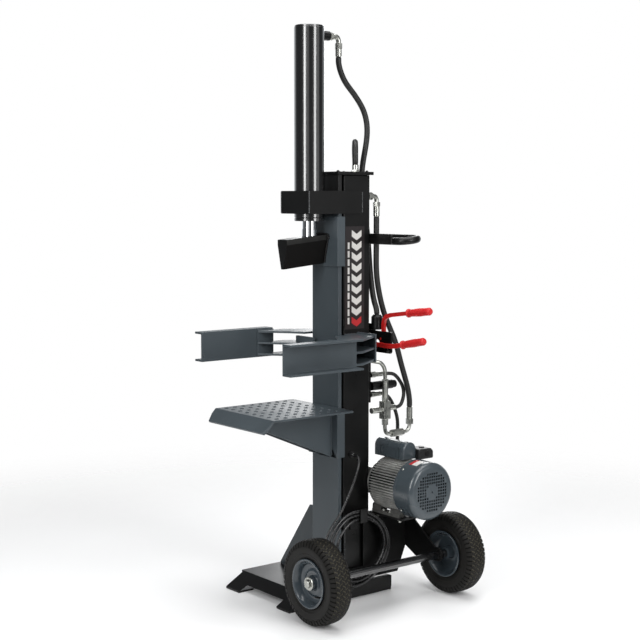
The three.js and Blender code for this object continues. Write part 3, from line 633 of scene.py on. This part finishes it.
def add_casing():
    """Finned body, black bell, front flange and the feet with their bolts."""
    body = Build("motor_casing", [ALLOY, ZINC, BLACK, CASTING], "cast_alloy", "frame",
                 replaces=("motor_body",))
    outline = [(r, 2 * math.pi * (i + step) / FINS) for i in range(FINS)
               for step, r in ((-0.27, FIN_ROOT), (-0.15, FIN_TIP), (0.15, FIN_TIP), (0.27, FIN_ROOT))]
    body.faces([[motor_spot(x, r, a) for r, a in outline] for x in (118, 262)], False)
    # The floors between the fins are black: painted shade between the fins.
    for face in body.bm.faces:
        if len(face.verts) == 4 and from_shaft(face)[1] < (FIN_ROOT + 2.5) * MM:
            face.material_index = 2
    bell = ((92.3, 60), (92.3, 82), (104, 88), (113, 98), (116, 101.5), (119.5, 101.5), (119.5, 60))
    body.faces([around(x, 64, r) for x, r in bell], True, 2)
    flange = ((260, 60), (260, 94), (260, 103), (262, 104.5), (267.6, 104.5), (267.6, 60))
    body.faces([around(x, 64, r) for x, r in flange])
    for y0, y1, lean in ((158.3, 187.7, 1), (262.3, 291.7, -1)):
        body.box(P(96, y0, 326.5), P(252, y1, 338), 3)
        inner, outer = (y1, y0) if lean > 0 else (y0, y1)
        section = [(outer + 2 * lean, 336), (outer + 3 * lean, 357), (inner + 6 * lean, 376),
                   (inner + 6 * lean, 336)]
        for x0, x1 in ((96, 146), (202, 252)):
            body.faces([[P(x, y, z) for y, z in section] for x in (x0, x1)], False, 3)
        for x in (156, 192):
            body.bolt(P(x, (y0 + y1) / 2 - 6 * lean, 338), (0, 0, 1), 0.0068, 0.0062, 0.0098, 1)
    body.done()


def add_fan_cover():
    cover = Build("fan_cover_shell", [ENAMEL, ZINC, BLACK], "slate_paint", "frame",
                  replaces=("motor_fan_cover",), angle=50)
    corner = [(COVER_FACE - COVER_CORNER * (1 - math.sin(a)), COVER_R - COVER_CORNER * (1 - math.cos(a)))
              for a in (math.pi / 2 * i / 9 for i in range(10))]
    inside = [(x - COVER_WALL, r - COVER_WALL) for x, r in corner[::-1]]
    opening = [(COVER_FACE, 80.4), (365.6, 80.4)]
    shell = [(COVER_BACK, COVER_R)] + corner + opening + inside + [(COVER_BACK, 108.2)]
    cover.faces([around(x, 96, r) for x, r in shell])
    # The inside of the shell is black: painted shade inside the cover, seen through the grille.
    for face in cover.bm.faces:
        x, r = from_shaft(face)
        if x < 367 * MM and r < (109 if x < 346 * MM else 88) * MM:
            face.material_index = 2
    for a in (-0.72, 0.85, 2.42, 3.99):
        cover.turned(motor_spot(283, 110.4, a), Vector((0, math.sin(a), math.cos(a))),
                     [(0, -0.001), (0.0052, -0.001), (0.0048, 0.0016), (0.0026, 0.003), (0, 0.003)], 20, 1)
    cover.done()


def add_grille():
    """The pierced disc in the face of the fan cover."""
    curve = bpy.data.curves.new("fan_grille", "CURVE")
    curve.dimensions = "2D"
    curve.fill_mode = "BOTH"
    curve.extrude = 0.0011

    def ring(u, v, r, count):
        spline = curve.splines.new("POLY")
        spline.points.add(count - 1)
        for i in range(count):
            a = 2 * math.pi * (i + 0.5) / count
            spline.points[i].co = (u + r * math.cos(a), v + r * math.sin(a), 0, 1)
        spline.use_cyclic_u = True

    ring(0, 0, GRILLE_R, 96)
    ring(0, 0, 0.0036, 16)
    for i in range(-7, 8):
        for j in range(-7, 8):
            if 0.0275 < math.hypot(i * HOLE_PITCH, j * HOLE_PITCH) < 0.0765:
                ring(i * HOLE_PITCH, j * HOLE_PITCH, HOLE_R, 4)
    draft = linked("fan_grille", curve)
    bpy.context.view_layer.update()
    mesh = bpy.data.meshes.new_from_object(draft.evaluated_get(bpy.context.evaluated_depsgraph_get()))
    bpy.data.objects.remove(draft)
    mesh.transform(Matrix(((0, 0, 1, 0), (1, 0, 0, 0), (0, 1, 0, 0), (0, 0, 0, 1))))
    mesh.materials.clear()
    mesh.materials.append(ENAMEL)
    grille = linked("fan_grille", mesh)
    grille.location = P(COVER_FACE - 1.1, MOTOR_Y, MOTOR_Z)
    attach(grille, "frame")


def add_tag():
    """A blank red and white tag on the side of the fan cover."""
    tag = Build("cover_tag", [MARK, RED_MARK], "slate_paint", "frame")
    span = [math.radians(-25 + 2 * i) for i in range(12)]
    for x0, x1, material in ((288, 304, 1), (304, 332, 0)):
        tag.faces([[motor_spot(x, 111.1, a) for a in span] + [motor_spot(x, 110.4, a) for a in span[::-1]]
                   for x in (x0, x1)], False, material)
    tag.done()


def add_capacitor_box():
    """A housing with a rounded top, a lid seam and two pressed frames on its front."""
    box = Build("capacitor_housing", ENAMEL, "slate_paint", "frame", replaces=("capacitor_box",), angle=50)

    def section(x, inset):
        y0, y1, z0, z1 = 192.4 + inset, 257.6 - inset, 545 + inset * 0.5, 611.6 - inset
        r = 30 - inset
        points = [(y0, z0), (y1, z0)]
        for i in range(9):
            a = math.pi / 2 * i / 8
            points.append((y1 - r + r * math.cos(a), z1 - r + r * math.sin(a)))
        for i in range(9):
            a = math.pi / 2 * (1 + i / 8)
            points.append((y0 + r + r * math.cos(a), z1 - r + r * math.sin(a)))
        return [P(x, y, z) for y, z in points]

    stations = ((68.2, 6), (68.8, 3.2), (70.5, 1.2), (73.5, 0.2), (212, 0.2), (212.4, 1.3), (214.4, 1.3),
                (214.8, 0), (235, 0), (238.4, 1), (240, 3), (240.7, 6))
    box.faces([section(x, inset) for x, inset in stations], False)
    for x in (114.5, 204):
        for x0, x1, z0 in ((x - 9.5, x - 7, 548), (x + 7, x + 9.5, 548), (x - 9.5, x + 9.5, 585.5)):
            box.box(P(x0, 191.3, z0), P(x1, 193, 588))
    box.done()


def add_switch_details():
    switch = Build("switch_details", [PLASTIC, BLACK], "black_plastic", "frame", bevel=0.0006)
    switch.rod(P(224, 300, 581), P(224, 300, 585.4), 0.0105, 28)
    switch.rod(P(256, 300, 562), P(260.5, 300, 562), 0.0115, 28, 1)
    for y in (268, 322):
        for z in (549, 569):
            switch.turned(P(257.6, y, z), (1, 0, 0),
                          [(0, -0.001), (0.0034, -0.001), (0.003, 0.0012), (0, 0.0016)], 16, 1)
    switch.done()


add_casing()
add_fan_cover()
add_grille()
add_tag()
add_capacitor_box()
add_switch_details()


# ---------------------------------------------------------------- column: panel, welds, fixings
CARRIAGE_LOW = 1292
CHEVRONS, CHEVRON_STEP, CHEVRON_TOP = 9, 41.5, 1426
BARS, BAR_STEP, BAR_TOP = 10, 32, 1379


def add_panel():
    """A dark film on the side of the tank with a plain pattern of chevrons and bars."""
    panel = Build("side_panel", [PANEL, MARK, RED_MARK], "black_paint", "frame")
    panel.box(P(TANK_SIDE - 0.3, 38, 1046), P(TANK_SIDE + 0.5, 133, 1440))
    depth, rise = 24, 15
    for i in range(CHEVRONS):
        z = CHEVRON_TOP - i * CHEVRON_STEP
        outline = [(70, z), (94, z - rise), (118, z),
                   (118, z - depth), (94, z - depth - rise), (70, z - depth)]
        panel.faces([[P(TANK_SIDE + out, y, height) for y, height in outline] for out in (0.3, 0.9)], False,
                    2 if i == CHEVRONS - 1 else 1)
    for i in range(BARS):
        z = BAR_TOP - i * BAR_STEP
        panel.box(P(TANK_SIDE + 0.3, 50, z - 25), P(TANK_SIDE + 0.9, 59, z), 1)
    panel.done()


def add_frame_welds():
    weld = Build("weld_beads", WELD, "black_paint", "frame", angle=70)
    for x in (-86.3, 86.3):
        weld.bead(P(x, -144.6, 1491), P(x, -144.6, 1573), 0.0032)
        weld.bead(P(x * 0.985, 113.2, 1492), P(x * 0.985, 113.2, 1572), 0.0026)
    for side in (-1, 1):
        weld.bead(P(side * 81, 0, BASE_TOP), P(side * 81, 29, BASE_TOP), 0.0034)
        weld.bead(P(side * 75, 31, BASE_TOP), P(side * 75, 160, BASE_TOP), 0.0036)
        for z in (929.4, 938.6, 974.4, 983.6, 1019.4, 1028.6):
            weld.bead(P(side * 75, 33, z), P(side * 75, 95, z), 0.0022)
    weld.bead(P(-79, -0.6, BASE_TOP), P(79, -0.6, BASE_TOP), 0.0036)
    weld.bead(P(-81, 3.6, 62), P(-81, 3.6, 334), 0.003)
    weld.bead(P(-83, 3.6, 58.8), P(-296, 3.6, 58.8), 0.003)
    weld.bead(P(74.4, 159.6, 62), P(74.4, 159.6, 160), 0.002)
    weld.bead(P(81, 32, 62), P(81, 32, 300), 0.0028)
    for z in (1370.4, 1412.6):
        weld.bead(P(-60, TANK_BACK, z), P(73, TANK_BACK, z), 0.0026)
    weld.done()


def add_wedge_welds():
    wedge = Build("wedge_welds", BLACK, "black_paint", "ram", angle=70)
    for side in (-1, 1):
        wedge.bead(P(side * 34, -12.8, 1413), P(side * 34, -12.8, 1390), 0.0058)
        wedge.bead(P(side * 38, -12.8, 1406), P(side * 38, -12.8, 1393), 0.0048)
        wedge.bead(P(side * 33, -12.8, 1390), P(side * 12, -12.8, 1302), 0.005)
    wedge.bead(P(-30, -13.4, 1412.6), P(30, -13.4, 1412.6), 0.0036)
    for side in (-1, 1):
        wedge.bead(P(side * 66, 25, CARRIAGE_LOW), P(side * 66, 25, CARRIAGE_LOW + 180), 0.0016)
    wedge.done()


def add_table_welds():
    table = Build("table_welds", SLATE, "slate_paint", "table", angle=70)
    for side in (-1, 1):
        table.bead(P(side * 53.6, -12.8, 562), P(side * 53.6, -12.8, 741), 0.0036)
        table.bead(P(side * 53.8, -16, 743.6), P(side * 53.8, -376, 743.6), 0.003)
    table.done()


def add_studs():
    """Pressed grip rings in the top of the table, each round a black disc of painted shade where its hollow
    is.
    """
    studs = Build("table_grip_rings", [SLATE, BLACK], "slate_paint", "table", angle=50)
    ring = [(0.0086, -0.0006), (0.0086, 0.0003), (0.0072, 0.0017), (0.0058, 0.0017), (0.0052, 0.0002),
            (0.0052, -0.0006)]
    hollow_shade_disc = [(0, -0.0006), (0.0054, -0.0006), (0.0054, 0.0003), (0, 0.0003)]
    for i in range(8):
        for j in range(8):
            centre = P(-161 + 46 * i, -352 + 40 * j, TABLE_TOP)
            studs.turned(centre, (0, 0, 1), ring, 20)
            studs.turned(centre, (0, 0, 1), hollow_shade_disc, 16, 1)
    studs.done()


def add_bolts():
    """Bolts of the lever bracket, the valve, the tank's cap, the motor's feet and the pump."""
    bolts = Build("frame_bolts", [BLACK, ZINC], "black_paint", "frame")
    for x, height in ((54, 0.0052), (150, 0.0009)):  # the lower lever sweeps over the second
        bolts.bolt(P(x, 191, 958), (0, -1, 0), 0.0058, height, 0.0082, 1)
    for x, z in ((-36, 940), (-36, 1046), (26, 940), (26, 1046)):
        bolts.bolt(P(x, 221.8, z), (0, 1, 0), 0.005, 0.006, 0.0066, 1)
    for y in (6, 148):
        for x in (-70, 70):
            bolts.bolt(P(x, y, TANK_CAP_TOP), (0, 0, 1), 0.0048, 0.0042, 0.0068)
    for x in (120, 250):
        for y in (167, 283):
            bolts.bolt(P(x, y, 318), (0, 0, -1), 0.0062, 0.008, 0.0094, 1)
    for a in range(4):
        bolts.bolt(motor_spot(80, 66, math.pi / 4 + a * math.pi / 2), (-1, 0, 0), 0.0056, 0.006, 0.0082, 1)
    for y in (192, 258):
        for z in (396, 484):
            bolts.bolt(P(-22, y, z), (-1, 0, 0), 0.0052, 0.006, 0.0074, 1)
    bolts.done()


def add_pivot_nut(lever, place, direction):
    nut = Build(f"{lever}_pivot_nut", [ZINC], "red_paint", f"{lever}_lever")
    nut.bolt(place, direction, 0.0068, 0.0062, 0.0092)
    nut.done()


add_panel()
add_frame_welds()
add_wedge_welds()
add_table_welds()
add_studs()
add_bolts()
add_pivot_nut("upper", P(104, 213, 1004), (0, 1, 0))
add_pivot_nut("lower", P(56, 176.6, 985), (0, -1, 0))


# ---------------------------------------------------------------- power cable
CABLE_D, CABLE_LENGTH = 0.010, 5.68
GLAND = (90.3, 68, 560)
LEAD = [GLAND, (98, 68, 560), (113, 66.5, 557), (126, 62.5, 548.5), (135.5, 56.5, 534), (139.5, 49, 514),
        (138, 41, 489), (132.5, 28, 450), (125, 9, 402), (121, -14, 358)]
TAIL = [(132, -93, 168), (133, -96, 140), (134, -97.6, 118), (134, -98, 108), (134, -98, 100.3)]
# Each loop of the coil: radius, middle y and z, and plane x.
LOOPS = [(152, 52, 199, 118.8), (138, 57, 203, 118.8), (124, 62, 204, 118.8), (112, 65, 201, 131.2),
         (131, 59, 203, 131.2), (145, 54, 201, 131.2)]
SAG = 0.12  # how far each loop bulges on its free side, as a share of its radius
COIL_START = 225  # where the lead joins the coil, in degrees from its lowest point
COIL_TURNS = len(LOOPS) + 42 / 360
COIL_STEPS = 222


def coil_point(turns):
    """A point of the coil after so many turns, from where the lead joins it."""
    whole = min(int(turns), len(LOOPS) - 1)
    part = min(max((turns - whole - 0.5) / 0.5, 0), 1)
    part = part * part * (3 - 2 * part)
    after = LOOPS[min(whole + 1, len(LOOPS) - 1)]
    r, y, z, x = (p + (q - p) * part for p, q in zip(LOOPS[whole], after))
    a = math.radians(COIL_START + 360 * turns)
    bulge = 1 + SAG * max(math.sin(a), 0) ** 2
    return P(x, y + r * bulge * math.sin(a), z - r * math.cos(a))


def smoothed(points, steps):
    """Catmull-Rom points between the given ones."""
    ends = [points[0] * 2 - points[1]] + points + [points[-1] * 2 - points[-2]]
    out = []
    for a, b, c, d in zip(ends, ends[1:], ends[2:], ends[3:]):
        for i in range(steps):
            t = i / steps
            out.append(0.5 * ((2 * b) + (c - a) * t + (2 * a - 5 * b + 4 * c - d) * t * t
                              + (3 * b - a - 3 * c + d) * t ** 3))
    return out + [points[-1]]


def add_cable():
    """The lead from the gland, the coil on its hook and the tail down to the plug."""
    coil = [coil_point(COIL_TURNS * i / COIL_STEPS) for i in range(COIL_STEPS + 1)]
    route = smoothed([P(*p) for p in LEAD] + coil + [P(*p) for p in TAIL], 4)
    curve = bpy.data.curves.new("power_cable", "CURVE")
    curve.dimensions = "3D"
    curve.bevel_depth = CABLE_D / 2
    curve.bevel_resolution = 4
    curve.use_fill_caps = True
    spline = curve.splines.new("POLY")
    spline.points.add(len(route) - 1)
    for point, place in zip(spline.points, route):
        point.co = (*place, 1)
    spline.use_smooth = True
    curve.materials.append(CORD)
    cable = linked("power_cable", curve)
    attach(cable, "frame")
    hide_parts("cable_lead", "cable_coil", "cable_tail")


def add_strain_relief():
    """A tapered sleeve of nine ribs where the cable leaves the gland."""
    relief = Build("cable_strain_relief", CORD, "cable_rubber", "frame")
    ribs = []
    for i in range(9):
        ribs += [(0.0088 - 0.0004 * i, 0.0026 * i), (0.0076 - 0.0003 * i, 0.0026 * i + 0.0015)]
    relief.turned(P(84, 68, 560), Vector((1, 0, -0.06)), [(0, 0)] + ribs + [(0, ribs[-1][1])], 20)
    relief.done()


add_cable()
add_strain_relief()
